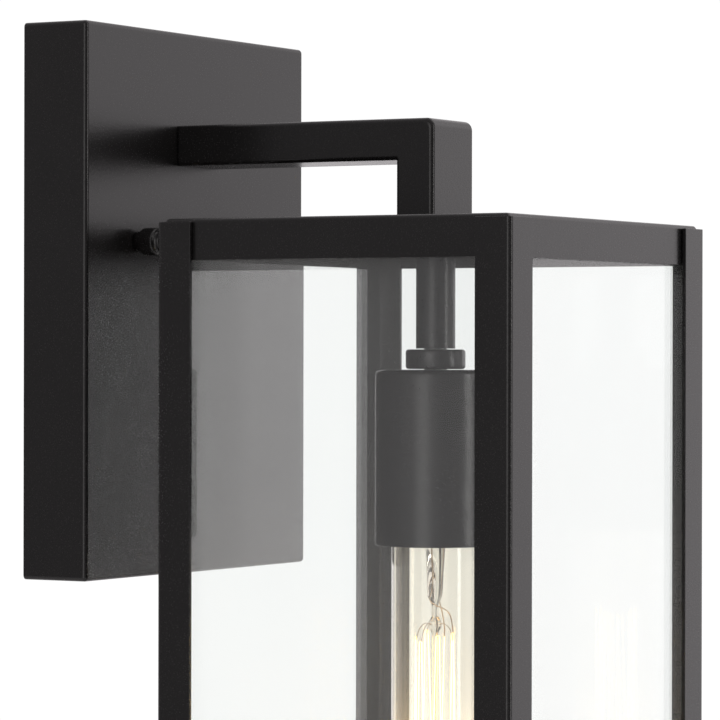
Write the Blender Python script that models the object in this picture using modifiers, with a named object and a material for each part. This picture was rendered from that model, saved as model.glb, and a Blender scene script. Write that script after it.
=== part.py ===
"""An outdoor wall lantern: a box of four glass panes in a black steel frame, hung from a square arm.

The frame of the model is +X along the wall, +Y into the wall and +Z up. The origin is on the wall
plane, at the centre of the mounting bar. Every length is in metres, written as millimetres * MM.
"""

import math

import bmesh
import bpy
from mathutils import Vector

MM = 0.001

# Clearances
GAP = 0.3 * MM  # between pieces that touch, and around what passes through a hole
SLIDE = 0.4 * MM  # around what turns or slides

# Lantern body
LANTERN_WIDTH = 152.4 * MM  # over the posts, along the wall
LANTERN_DEPTH = 137.0 * MM  # over the posts, out from the wall
LANTERN_HEIGHT = 285.5 * MM
ROOF_TOP = 6.6 * MM  # above the centre of the mounting bar
STANDOFF = 30.5 * MM  # from the backplate's front to the posts

POST_SHEET = 1.5 * MM
POST_LEG_X = 15.8 * MM
POST_LEG_Y = 13.4 * MM
POST_BEND = 1.7 * MM  # outer radius of the bend
POST_DROP = 1.2 * MM  # from the roof's top down to the post's end

RAIL_SHEET = 1.0 * MM
RAIL_HEIGHT = 14.4 * MM
RAIL_BEND = 1.5 * MM
LEDGE = 9.0 * MM  # the bottom rails' inner flange, which the glass stands on

GLASS = 3.2 * MM
GLASS_TOP_ROOM = 6.0 * MM  # under the roof's sheet

CLIP_SHEET = 0.9 * MM
CLIP_WIDTH = 14.0 * MM
CLIP_BEND = 1.2 * MM
CLIP_FOOT = 4.2 * MM
TOP_CLIP_REACH = 11.0 * MM
BOTTOM_CLIP_REACH = 9.0 * MM

# Backplate and what holds it on the wall
PLATE_WIDTH = 148.7 * MM
PLATE_HEIGHT = 196.3 * MM
PLATE_DEPTH = 26.5 * MM
PLATE_TOP = 76.7 * MM  # above the centre of the mounting bar
PLATE_SHEET = 1.2 * MM
PLATE_BEND = 1.6 * MM

BAR_LENGTH = 112.0 * MM
BAR_HEIGHT = 22.0 * MM
BAR_SHEET = 2.5 * MM
INNER_SLOT = (18.0 * MM, 33.0 * MM)  # ends of the slot for small boxes, along X
OUTER_SLOT = (46.0 * MM, 54.0 * MM)  # the same for larger boxes
SLOT_WIDTH = 5.6 * MM
SLOT_END = 0.49  # the radius of its ends, as a share of its width
BAR_CORNER = 3.0 * MM
STUD_SPACING = 82.6 * MM
STUD_RADIUS = 2.0 * MM
STUD_GRIP = 7.0 * MM  # length inside the cap nut
STUD_CHAMFER = 0.4 * MM
HEX_HEIGHT = 3.2 * MM
HEX_FLATS = 7.0 * MM
GROUND_SCREW_X = 11.0 * MM
GROUND_HEAD_RADIUS = 4.0 * MM
GROUND_HEAD = 2.2 * MM

# Knurled cap nut
CAP_NECK_RADIUS = 3.6 * MM
CAP_NECK = 2.4 * MM
CAP_BARREL_RADIUS = 4.85 * MM
CAP_BARREL = 6.0 * MM
CAP_TIP_RADIUS = 3.4 * MM
CAP_TIP = 3.0 * MM
CAP_DOME = 1.7 * MM  # the rounded part of the tip
CAP_CHAMFER = 0.8 * MM
CAP_WALL = 2.0 * MM  # of solid metal beyond the end of the bore

# Arm
ARM_WIDTH = 30.5 * MM
ARM_HEIGHT = 14.6 * MM
ARM_WALL = 1.2 * MM
ARM_CORNER = 1.5 * MM
ARM_RISE = 21.6 * MM  # from the roof's top to the arm's underside
DROP_DEPTH = 15.0 * MM
DROP_SETBACK = 1.1 * MM  # of the drop's middle behind the lantern's middle
END_PLATE = 4.0 * MM

# Hollow threaded rods
ROD_RADIUS = 4.0 * MM
ROD_BORE = 2.7 * MM
ROD_STICKOUT = 5.0 * MM  # beyond the end plate, inside the arm
NUT_FLATS = 11.0 * MM
NUT_HEIGHT = 3.6 * MM
ARM_ROD_TAIL = 7.0 * MM  # beyond the backplate's inner face

# Stem and lamp holder
STEM_RADIUS = 6.95 * MM
STEM_LENGTH = 43.2 * MM
COLLAR_RADIUS = 10.55 * MM
COLLAR_HEIGHT = 6.9 * MM
COLLAR_EDGE = 0.8 * MM
CUP_RADIUS = 21.3 * MM
CUP_HEIGHT = 61.8 * MM
CUP_WALL = 1.2 * MM
CUP_EDGE = 2.2 * MM
HOLDER_RADIUS = 18.4 * MM
HOLDER_RECESS = 16.0 * MM  # of the holder's mouth above the cup's rim
HOLDER_TOP_WALL = 8.0 * MM
SHELL_WALL = 0.5 * MM
SHELL_LENGTH = 27.0 * MM
CONTACT_RADIUS = 4.5 * MM
CONTACT_THICK = 0.8 * MM

# Screw-base bulb
THREAD_PITCH = 3.629 * MM
THREAD_DEPTH = 0.8 * MM
THREAD_TURNS = 5
CAP_CREST = 13.0 * MM
BULB_CAP_WALL = 0.5 * MM
BULB_CAP_SKIRT = 5.5 * MM  # plain part below the thread
BULB_CONTACT_RADIUS = 4.6 * MM
BULB_CONTACT_THICK = 1.0 * MM
INSULATOR_HEIGHT = 2.6 * MM
BULB_LENGTH = 185.0 * MM
BULB_RADIUS = 15.45 * MM
BULB_WALL = 0.9 * MM
NECK_RADIUS = 11.8 * MM
NECK_OVERLAP = 4.0 * MM  # of the glass inside its cap
NECK_TAPER = 13.0 * MM
MOUNT_FLARE_RADIUS = 9.6 * MM
MOUNT_RADIUS = 3.6 * MM
MOUNT_PRESS_END = 39.5 * MM  # below the cap's rim
MOUNT_ROD_RADIUS = 1.1 * MM
CAGE_TOP = 47.5 * MM  # below the cap's rim
CAGE_LENGTH = 91.0 * MM
CAGE_RADIUS = 7.0 * MM
CAGE_LEGS = 12
CAGE_STEP = math.radians(27.0)  # between one leg's foot and the next
FILAMENT_RADIUS = 0.3 * MM
FILAMENT_BEND = 0.6 * MM  # of its middle line, over each hook
SPOKE_RADIUS = 0.25 * MM
HUB_RADIUS = 2.3 * MM
HUB_HEIGHT = 2.0 * MM
LEAD_RADIUS = 0.35 * MM
LEAD_SPREAD = 2.2 * MM

# Facets
ROUND_STEPS = 32
SMALL_STEPS = 20
HOLE_STEPS = 16
BEND_STEPS = 3

# Places that follow from the sizes
PLATE_FRONT = -PLATE_DEPTH
LANTERN_BACK = PLATE_FRONT - STANDOFF
LANTERN_FRONT = LANTERN_BACK - LANTERN_DEPTH
LANTERN_MIDDLE = (LANTERN_BACK + LANTERN_FRONT) / 2
LANTERN_SIDE = LANTERN_WIDTH / 2
LANTERN_BOTTOM = ROOF_TOP - LANTERN_HEIGHT
ROOF_UNDER = ROOF_TOP - RAIL_SHEET
RAIL_INSET = POST_SHEET + GAP  # from the posts' outer faces to the rails' outer faces
GLASS_INSET = RAIL_INSET + RAIL_SHEET + GAP

ARM_BOTTOM = ROOF_TOP + ARM_RISE
ARM_TOP = ARM_BOTTOM + ARM_HEIGHT
ARM_MIDDLE = (ARM_BOTTOM + ARM_TOP) / 2
ARM_BACK = PLATE_FRONT - GAP
DROP_MIDDLE = LANTERN_MIDDLE + DROP_SETBACK
DROP_FRONT = DROP_MIDDLE - DROP_DEPTH / 2
DROP_BACK = DROP_MIDDLE + DROP_DEPTH / 2
DROP_BOTTOM = ROOF_TOP + GAP

STEM_TOP = ROOF_UNDER - GAP
STEM_BOTTOM = STEM_TOP - STEM_LENGTH
COLLAR_TOP = STEM_BOTTOM - GAP
COLLAR_BOTTOM = COLLAR_TOP - COLLAR_HEIGHT
CUP_TOP = COLLAR_BOTTOM - GAP
CUP_BOTTOM = CUP_TOP - CUP_HEIGHT
CUP_NUT_TOP = CUP_TOP - CUP_WALL - GAP
HOLDER_TOP = CUP_NUT_TOP - NUT_HEIGHT - GAP
HOLDER_BOTTOM = CUP_BOTTOM + HOLDER_RECESS
HOLDER_CEILING = HOLDER_TOP - HOLDER_TOP_WALL
CONTACT_TOP = HOLDER_CEILING - GAP
BULB_TOP = CONTACT_TOP - CONTACT_THICK - GAP
INSULATOR_TOP = BULB_TOP - BULB_CONTACT_THICK - GAP
BULB_CAP_TOP = INSULATOR_TOP - INSULATOR_HEIGHT - GAP
BULB_CAP_BOTTOM = BULB_CAP_TOP - THREAD_TURNS * THREAD_PITCH - BULB_CAP_SKIRT
BULB_BOTTOM = BULB_TOP - BULB_LENGTH
CAGE_CEILING = BULB_CAP_BOTTOM - CAGE_TOP
CAGE_FLOOR = CAGE_CEILING - CAGE_LENGTH

BLACK_COAT = ((0.020, 0.019, 0.019), 0.42, 0.0)
ZINC = ((0.55, 0.56, 0.57), 0.35, 1.0)
BRASS = ((0.76, 0.60, 0.33), 0.3, 1.0)
NICKEL = ((0.66, 0.64, 0.60), 0.3, 1.0)
CLEAR_GLASS = ((0.92, 0.96, 0.95), 0.03, 0.0)
PORCELAIN = ((0.85, 0.84, 0.80), 0.3, 0.0)
BLACK_GLASS = ((0.02, 0.02, 0.025), 0.15, 0.0)
TUNGSTEN = ((1.0, 0.72, 0.35), 0.4, 0.0)
GREEN_ZINC = ((0.05, 0.32, 0.12), 0.35, 1.0)


def clear_scene():
    for old in list(bpy.data.objects):
        bpy.data.objects.remove(old, do_unlink=True)


def new_collection(name):
    group = bpy.data.collections.new(name)
    bpy.context.scene.collection.children.link(group)
    return group


def material(name, finish):
    colour, roughness, metallic = finish
    made = bpy.data.materials.new(name)
    made.use_nodes = True
    shader = made.node_tree.nodes["Principled BSDF"]
    shader.inputs["Base Color"].default_value = (*colour, 1.0)
    shader.inputs["Roughness"].default_value = roughness
    shader.inputs["Metallic"].default_value = metallic
    made.diffuse_color = (*colour, 1.0)
    return made


clear_scene()
PARTS = new_collection("wall_lantern")
CUTTERS = new_collection("cutters")


def put(name, data, finish, place=(0, 0, 0), turn=(0, 0, 0)):
    """The named part, holding this mesh or curve, in its own material."""
    part = bpy.data.objects.new(name, data)
    part.location = place
    part.rotation_euler = turn
    data.materials.append(material(name, finish))
    PARTS.objects.link(part)
    return part


def box_mesh(name, size):
    mesh = bpy.data.meshes.new(name)
    work = bmesh.new()
    bmesh.ops.create_cube(work, size=1.0)
    bmesh.ops.scale(work, vec=size, verts=work.verts)
    work.to_mesh(mesh)
    work.free()
    return mesh


def block(name, low, high, finish, edge=0.0):
    """A rectangular solid between two corners, its edges rounded if edge is given."""
    low = Vector(low)
    high = Vector(high)
    part = put(name, box_mesh(name, high - low), finish, (low + high) / 2)
    if edge:
        round_edges(part, edge)
    return part


def round_edges(part, width, segments=BEND_STEPS):
    bevel = part.modifiers.new("rounded edges", "BEVEL")
    bevel.width = width
    bevel.segments = segments
    bevel.limit_method = "ANGLE"
    return bevel


def folded_pan(name, low, high, open_side, sheet, bend, finish):
    """A sheet-metal pan between two corners, without its wall on open_side, folded with the given bend."""
    low = Vector(low)
    high = Vector(high)
    mesh = box_mesh(name, high - low)
    work = bmesh.new()
    work.from_mesh(mesh)
    gone = [face for face in work.faces if face.normal.dot(Vector(open_side)) > 0.9]
    bmesh.ops.delete(work, geom=gone, context="FACES_ONLY")
    work.to_mesh(mesh)
    work.free()
    pan = put(name, mesh, finish, (low + high) / 2)
    round_edges(pan, bend)
    wall = pan.modifiers.new("sheet", "SOLIDIFY")
    wall.thickness = sheet
    wall.offset = -1.0
    wall.use_even_offset = True
    return pan


def arc(centre, radius, start, end, steps):
    """Points on an arc, from the angle start to the angle end, in degrees."""
    turn = [math.radians(start + (end - start) * step / steps) for step in range(steps + 1)]
    return [(centre[0] + radius * math.cos(a), centre[1] + radius * math.sin(a)) for a in turn]


def circle(centre, radius, steps=HOLE_STEPS):
    return arc(centre, radius, 0, 360, steps)[:-1]


def rounded_rectangle(width, height, radius, centre=(0.0, 0.0), steps=BEND_STEPS):
    across = width / 2 - radius
    up = height / 2 - radius
    corners = ((across, up, 0), (-across, up, 90), (-across, -up, 180), (across, -up, 270))
    points = []
    for x, y, start in corners:
        points += arc((centre[0] + x, centre[1] + y), radius, start, start + 90, steps)
    return points


def hexagon(flats):
    return circle((0.0, 0.0), flats / math.sqrt(3), 6)


def angle_section(leg_u, leg_v, sheet, bend, side_u=1, side_v=1):
    """An L with its outer corner at the origin and its legs along u and v, bent with an outer radius."""
    inner = max(bend - sheet, 0.2 * MM)
    points = [(leg_u, 0.0), (leg_u, sheet)]
    points += arc((sheet + inner, sheet + inner), inner, 270, 180, BEND_STEPS)
    points += [(sheet, leg_v), (0.0, leg_v)]
    points += arc((bend, bend), bend, 180, 270, BEND_STEPS)
    points = [(u * side_u, v * side_v) for u, v in points]
    return points if side_u * side_v > 0 else points[::-1]


def extruded(name, outlines, length, finish, place=(0, 0, 0), turn=(0, 0, 0)):
    """A flat outline with its holes, drawn across local XY and extruded by length, centred, along Z."""
    curve = bpy.data.curves.new(name, "CURVE")
    curve.dimensions = "2D"
    curve.fill_mode = "BOTH"
    curve.extrude = length / 2
    for outline in outlines:
        spline = curve.splines.new("POLY")
        spline.points.add(len(outline) - 1)
        for point, (x, y) in zip(spline.points, outline):
            point.co = (x, y, 0.0, 1.0)
        spline.use_cyclic_u = True
    return put(name, curve, finish, place, turn)


ALONG_X = (math.pi / 2, 0.0, math.pi / 2)  # an outline drawn across Y and Z
ALONG_Y = (math.pi / 2, 0.0, 0.0)  # an outline drawn across X and Z
OUT_OF_WALL = (-math.pi / 2, 0.0, 0.0)  # a profile's +Z end points into the wall


def meshed(part):
    """The same part as a mesh, with its caps welded, so that it can be cut."""
    bpy.context.view_layer.update()
    graph = bpy.context.evaluated_depsgraph_get()
    mesh = bpy.data.meshes.new_from_object(part.evaluated_get(graph))
    work = bmesh.new()
    work.from_mesh(mesh)
    bmesh.ops.remove_doubles(work, verts=work.verts, dist=0.001 * MM)
    bmesh.ops.recalc_face_normals(work, faces=work.faces)
    work.to_mesh(mesh)
    work.free()
    name = part.name
    matrix = part.matrix_world.copy()
    bpy.data.objects.remove(part, do_unlink=True)
    solid = bpy.data.objects.new(name, mesh)
    solid.matrix_world = matrix
    PARTS.objects.link(solid)
    return solid


def turned(name, profile, finish, place=(0, 0, 0), turn=(0, 0, 0), steps=ROUND_STEPS, ring=False):
    """A profile of (radius, height) points turned about Z. It runs down the outer side of the shape.
    It starts and ends on the axis, or it closes on itself when ring is set."""
    mesh = bpy.data.meshes.new(name)
    edges = [(i, i + 1) for i in range(len(profile) - 1)]
    if ring:
        edges.append((len(profile) - 1, 0))
    mesh.from_pydata([(r, 0.0, z) for r, z in profile], edges, [])
    part = put(name, mesh, finish, place, turn)
    screw = part.modifiers.new("turning", "SCREW")
    screw.steps = steps
    screw.render_steps = steps
    screw.use_merge_vertices = True
    screw.merge_threshold = 0.01 * MM
    screw.use_smooth_shade = True
    return part


def sleeve(name, outer, inner, top, bottom, finish, place=(0, 0, 0), turn=(0, 0, 0), edge=0.0):
    """A tube with flat ends, its two outer edges chamfered by edge."""
    profile = [(inner, top), (outer - edge, top)]
    if edge:
        profile += [(outer, top - edge), (outer, bottom + edge)]
    else:
        profile += [(outer, bottom)]
    profile += [(outer - edge, bottom), (inner, bottom)] if edge else [(inner, bottom)]
    return turned(name, profile, finish, place, turn, SMALL_STEPS, ring=True)


def wire(name, points, radius, finish, resolution=2):
    curve = bpy.data.curves.new(name, "CURVE")
    curve.dimensions = "3D"
    curve.bevel_depth = radius
    curve.bevel_resolution = resolution
    curve.use_fill_caps = True
    spline = curve.splines.new("POLY")
    spline.points.add(len(points) - 1)
    for point, place in zip(spline.points, points):
        point.co = (*place, 1.0)
    return put(name, curve, finish)


def cutter(name, mesh, place, turn=(0, 0, 0)):
    tool = bpy.data.objects.new(name, mesh)
    tool.location = place
    tool.rotation_euler = turn
    tool.hide_render = True
    tool.display_type = "WIRE"
    CUTTERS.objects.link(tool)
    return tool


def cylinder_cutter(name, radius, length, place, turn=(0, 0, 0)):
    mesh = bpy.data.meshes.new(name)
    work = bmesh.new()
    bmesh.ops.create_cone(
        work, cap_ends=True, segments=HOLE_STEPS, radius1=radius, radius2=radius, depth=length
    )
    work.to_mesh(mesh)
    work.free()
    return cutter(name, mesh, place, turn)


def cut(part, tool):
    boolean = part.modifiers.new(tool.name, "BOOLEAN")
    boolean.operation = "DIFFERENCE"
    boolean.solver = "EXACT"
    boolean.object = tool


def union(part, other):
    boolean = part.modifiers.new(other.name, "BOOLEAN")
    boolean.operation = "UNION"
    boolean.solver = "EXACT"
    boolean.object = other


# Wall side


def make_backplate():
    pan = folded_pan(
        "backplate",
        (-PLATE_WIDTH / 2, PLATE_FRONT, PLATE_TOP - PLATE_HEIGHT),
        (PLATE_WIDTH / 2, 0.0, PLATE_TOP),
        (0, 1, 0),
        PLATE_SHEET,
        PLATE_BEND,
        BLACK_COAT,
    )
    reach = 4 * PLATE_BEND
    for side, label in ((-1, "left"), (1, "right")):
        hole = cylinder_cutter(
            "plate_stud_hole_" + label,
            STUD_RADIUS + GAP,
            reach,
            (side * STUD_SPACING / 2, PLATE_FRONT, 0.0),
            ALONG_Y,
        )
        cut(pan, hole)
    rod_hole = cylinder_cutter(
        "plate_rod_hole", ROD_RADIUS + GAP, reach, (0.0, PLATE_FRONT, ARM_MIDDLE), ALONG_Y
    )
    cut(pan, rod_hole)


def make_mounting_bar():
    outlines = [rounded_rectangle(BAR_LENGTH, BAR_HEIGHT, BAR_CORNER)]
    for side in (-1, 1):
        for near, far in (INNER_SLOT, OUTER_SLOT):
            middle = (side * (near + far) / 2, 0.0)
            outlines.append(rounded_rectangle(far - near, SLOT_WIDTH, SLOT_END * SLOT_WIDTH, middle))
        outlines.append(circle((side * STUD_SPACING / 2, 0.0), STUD_RADIUS + GAP))
    outlines.append(circle((GROUND_SCREW_X, 0.0), STUD_RADIUS + GAP))
    extruded("mounting_bar", outlines, BAR_SHEET, ZINC, (0.0, -BAR_SHEET / 2, 0.0), ALONG_Y)


def make_stud(label, x):
    end = PLATE_FRONT - GAP - STUD_GRIP
    profile = [
        (0.0, 0.0),
        (STUD_RADIUS - STUD_CHAMFER, 0.0),
        (STUD_RADIUS, -STUD_CHAMFER),
        (STUD_RADIUS, end + STUD_CHAMFER),
        (STUD_RADIUS - STUD_CHAMFER, end),
        (0.0, end),
    ]
    turned("mounting_screw_" + label, profile, ZINC, (x, 0.0, 0.0), OUT_OF_WALL, SMALL_STEPS)
    outlines = [hexagon(HEX_FLATS), circle((0.0, 0.0), STUD_RADIUS + GAP)]
    middle = -BAR_SHEET - GAP - HEX_HEIGHT / 2
    extruded("lock_nut_" + label, outlines, HEX_HEIGHT, ZINC, (x, middle, 0.0), ALONG_Y)


def make_cap_nut(label, x):
    """A blind knurled nut, turned about its bore. Its neck bears on the backplate."""
    neck_end = -CAP_NECK
    barrel_end = neck_end - CAP_BARREL
    tip_end = barrel_end - CAP_TIP
    bore_end = -STUD_GRIP - CAP_WALL / 2
    bore = STUD_RADIUS + SLIDE
    profile = [
        (0.0, bore_end),
        (bore, bore_end),
        (bore, 0.0),
        (CAP_NECK_RADIUS, 0.0),
        (CAP_NECK_RADIUS, neck_end),
        (CAP_BARREL_RADIUS, neck_end),
        (CAP_BARREL_RADIUS, barrel_end + CAP_CHAMFER),
        (CAP_BARREL_RADIUS - CAP_CHAMFER, barrel_end),
        (CAP_TIP_RADIUS, barrel_end),
    ]
    profile += [
        (r, tip_end + CAP_DOME * (1 + z / CAP_TIP_RADIUS))
        for r, z in arc((0.0, 0.0), CAP_TIP_RADIUS, 0, -90, 4)
    ]
    place = (x, PLATE_FRONT - GAP, 0.0)
    turned("cap_nut_" + label, profile, BLACK_COAT, place, OUT_OF_WALL, SMALL_STEPS)


def make_ground_screw():
    under = -BAR_SHEET - GAP
    profile = [
        (0.0, 0.0),
        (STUD_RADIUS, 0.0),
        (STUD_RADIUS, under),
        (GROUND_HEAD_RADIUS, under),
        (GROUND_HEAD_RADIUS, under - GROUND_HEAD),
        (0.0, under - GROUND_HEAD),
    ]
    place = (GROUND_SCREW_X, 0.0, 0.0)
    turned("ground_screw", profile, GREEN_ZINC, place, OUT_OF_WALL, SMALL_STEPS)


# Arm


def tube_outlines(width, height):
    inner = ARM_CORNER - ARM_WALL
    return [
        rounded_rectangle(width, height, ARM_CORNER),
        rounded_rectangle(width - 2 * ARM_WALL, height - 2 * ARM_WALL, max(inner, 0.2 * MM)),
    ]


def mitre_cutter(name, side):
    """A block on one side of the mitre plane, which joins the arm's inner and outer corners."""
    corner = Vector((0.0, DROP_BACK, ARM_BOTTOM))
    slope = Vector((0.0, DROP_FRONT, ARM_TOP)) - corner
    normal = Vector((0.0, -slope.z, slope.y)).normalized() * side
    size = 4 * (ARM_HEIGHT + DROP_DEPTH)
    place = corner + normal * (size - GAP) / 2
    turn = normal.to_track_quat("Z", "X").to_euler()
    return cutter(name, box_mesh(name, (size, size, size)), place, turn)


def make_arm():
    length = ARM_BACK - DROP_FRONT
    place = (0.0, (ARM_BACK + DROP_FRONT) / 2, ARM_MIDDLE)
    outlines = tube_outlines(ARM_WIDTH, ARM_HEIGHT)
    arm = meshed(extruded("arm_tube", outlines, length, BLACK_COAT, place, ALONG_Y))
    cut(arm, mitre_cutter("arm_mitre", 1))

    foot = DROP_BOTTOM + END_PLATE + GAP
    place = (0.0, DROP_MIDDLE, (ARM_TOP + foot) / 2)
    outlines = tube_outlines(ARM_WIDTH, DROP_DEPTH)
    drop = meshed(extruded("arm_drop", outlines, ARM_TOP - foot, BLACK_COAT, place))
    cut(drop, mitre_cutter("drop_mitre", -1))


def make_end_plates():
    """Tapped plates for the rods: one welded inside the arm's wall end, one closing the drop's foot."""
    inside = 2 * (ARM_WALL + GAP)
    outline = rounded_rectangle(ARM_WIDTH - inside, ARM_HEIGHT - inside, ARM_CORNER / 2)
    hole = circle((0.0, 0.0), ROD_RADIUS + GAP)
    place = (0.0, ARM_BACK - END_PLATE / 2, ARM_MIDDLE)
    extruded("arm_end_plate", [outline, hole], END_PLATE, ZINC, place, ALONG_Y)

    outline = rounded_rectangle(ARM_WIDTH, DROP_DEPTH, ARM_CORNER)
    hole = circle((0.0, -DROP_SETBACK), ROD_RADIUS + GAP)
    place = (0.0, DROP_MIDDLE, DROP_BOTTOM + END_PLATE / 2)
    extruded("drop_end_plate", [outline, hole], END_PLATE, BLACK_COAT, place)


def make_arm_rod():
    start = ARM_BACK - END_PLATE - ROD_STICKOUT
    end = PLATE_FRONT + PLATE_SHEET + ARM_ROD_TAIL
    place = (0.0, 0.0, ARM_MIDDLE)
    sleeve("arm_rod", ROD_RADIUS, ROD_BORE, end, start, ZINC, place, OUT_OF_WALL)
    outlines = [hexagon(NUT_FLATS), circle((0.0, 0.0), ROD_RADIUS + GAP)]
    middle = PLATE_FRONT + PLATE_SHEET + GAP + NUT_HEIGHT / 2
    extruded("arm_nut", outlines, NUT_HEIGHT, ZINC, (0.0, middle, ARM_MIDDLE), ALONG_Y)


# Lantern frame and glass


def make_roof():
    side = LANTERN_SIDE - RAIL_INSET
    roof = folded_pan(
        "roof_pan",
        (-side, LANTERN_FRONT + RAIL_INSET, ROOF_TOP - RAIL_HEIGHT),
        (side, LANTERN_BACK - RAIL_INSET, ROOF_TOP),
        (0, 0, -1),
        RAIL_SHEET,
        RAIL_BEND,
        BLACK_COAT,
    )
    place = (0.0, LANTERN_MIDDLE, ROOF_TOP)
    cut(roof, cylinder_cutter("roof_rod_hole", ROD_RADIUS + GAP, 4 * RAIL_BEND, place))


def make_posts():
    top = ROOF_TOP - POST_DROP
    middle = (top + LANTERN_BOTTOM) / 2
    for end, y, into in (("front", LANTERN_FRONT, 1), ("back", LANTERN_BACK, -1)):
        for label, side in (("left", -1), ("right", 1)):
            section = angle_section(POST_LEG_X, POST_LEG_Y, POST_SHEET, POST_BEND, -side, into)
            place = (side * LANTERN_SIDE, y, middle)
            extruded(f"post_{end}_{label}", [section], top - LANTERN_BOTTOM, BLACK_COAT, place)


def make_bottom_rails():
    """Angles with their upright leg outside and their ledge inside. The side ledges fit between
    the front and back ledges, behind the posts' legs."""
    long_side = LANTERN_WIDTH - 2 * RAIL_INSET
    short_side = LANTERN_DEPTH - 2 * (RAIL_INSET + LEDGE + GAP)
    for label, y, into in (("front", LANTERN_FRONT, 1), ("back", LANTERN_BACK, -1)):
        section = angle_section(LEDGE, RAIL_HEIGHT, RAIL_SHEET, RAIL_BEND, into, 1)
        place = (0.0, y + into * RAIL_INSET, LANTERN_BOTTOM)
        extruded("bottom_rail_" + label, [section], long_side, BLACK_COAT, place, ALONG_X)
    for label, side in (("left", -1), ("right", 1)):
        section = angle_section(LEDGE, RAIL_HEIGHT, RAIL_SHEET, RAIL_BEND, -side, 1)
        place = (side * (LANTERN_SIDE - RAIL_INSET), LANTERN_MIDDLE, LANTERN_BOTTOM)
        extruded("bottom_rail_" + label, [section], short_side, BLACK_COAT, place, ALONG_Y)


def make_glass():
    top = ROOF_UNDER - GLASS_TOP_ROOM
    bottom = LANTERN_BOTTOM + RAIL_SHEET + GAP
    side = LANTERN_SIDE - GLASS_INSET
    front = LANTERN_FRONT + GLASS_INSET
    back = LANTERN_BACK - GLASS_INSET
    edge = 0.4 * MM
    block("glass_front", (-side, front, bottom), (side, front + GLASS, top), CLEAR_GLASS, edge)
    block("glass_back", (-side, back - GLASS, bottom), (side, back, top), CLEAR_GLASS, edge)
    low = front + GLASS + GAP
    high = back - GLASS - GAP
    block("glass_left", (-side, low, bottom), (-side + GLASS, high, top), CLEAR_GLASS, edge)
    block("glass_right", (side - GLASS, low, bottom), (side, high, top), CLEAR_GLASS, edge)


def make_clips():
    """Small angles that hold each pane against its rail, one under the roof and one on the ledge."""
    levels = (
        ("top", ROOF_UNDER - GAP, TOP_CLIP_REACH, -1),
        ("bottom", LANTERN_BOTTOM + RAIL_SHEET + GAP, BOTTOM_CLIP_REACH, 1),
    )
    inset = GLASS_INSET + GLASS + GAP
    for level, z, reach, up in levels:
        for label, y, into in (("front", LANTERN_FRONT, 1), ("back", LANTERN_BACK, -1)):
            section = angle_section(CLIP_FOOT, reach, CLIP_SHEET, CLIP_BEND, into, up)
            place = (0.0, y + into * inset, z)
            extruded(f"clip_{level}_{label}", [section], CLIP_WIDTH, ZINC, place, ALONG_X)
        for label, side in (("left", -1), ("right", 1)):
            section = angle_section(CLIP_FOOT, reach, CLIP_SHEET, CLIP_BEND, -side, up)
            place = (side * (LANTERN_SIDE - inset), LANTERN_MIDDLE, z)
            extruded(f"clip_{level}_{label}", [section], CLIP_WIDTH, ZINC, place, ALONG_Y)


# Stem and lamp holder

AXIS = (0.0, LANTERN_MIDDLE, 0.0)


def make_stem():
    top = DROP_BOTTOM + END_PLATE + ROD_STICKOUT
    bottom = HOLDER_TOP - HOLDER_TOP_WALL / 2 + GAP
    sleeve("stem_rod", ROD_RADIUS, ROD_BORE, top, bottom, ZINC, AXIS)
    bore = ROD_RADIUS + GAP
    sleeve("stem_tube", STEM_RADIUS, bore, STEM_TOP, STEM_BOTTOM, BLACK_COAT, AXIS)
    sleeve(
        "stem_collar", COLLAR_RADIUS, bore, COLLAR_TOP, COLLAR_BOTTOM, BLACK_COAT, AXIS, edge=COLLAR_EDGE
    )


def make_cup():
    shoulder = arc((CUP_RADIUS - CUP_EDGE, CUP_TOP - CUP_EDGE), CUP_EDGE, 90, 0, BEND_STEPS)
    inner_edge = CUP_EDGE - CUP_WALL
    inner = arc((CUP_RADIUS - CUP_EDGE, CUP_TOP - CUP_EDGE), inner_edge, 0, 90, BEND_STEPS)
    profile = [(ROD_RADIUS + GAP, CUP_TOP)]
    profile += shoulder
    profile += [(CUP_RADIUS, CUP_BOTTOM), (CUP_RADIUS - CUP_WALL, CUP_BOTTOM)]
    profile += inner
    profile += [(ROD_RADIUS + GAP, CUP_TOP - CUP_WALL)]
    turned("socket_cup", profile, BLACK_COAT, AXIS, ring=True)
    outlines = [hexagon(NUT_FLATS), circle((0.0, 0.0), ROD_RADIUS + GAP)]
    place = (0.0, LANTERN_MIDDLE, CUP_NUT_TOP - NUT_HEIGHT / 2)
    extruded("socket_nut", outlines, NUT_HEIGHT, ZINC, place)


def thread(crest, root, top, turns):
    """A rolled thread's outline as rings of crests and roots, from the top down."""
    points = [(root, top)]
    for turn in range(turns):
        start = top - turn * THREAD_PITCH
        points += [(crest, start - THREAD_PITCH * 0.35), (crest, start - THREAD_PITCH * 0.65)]
        points += [(root, start - THREAD_PITCH)]
    return points


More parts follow.
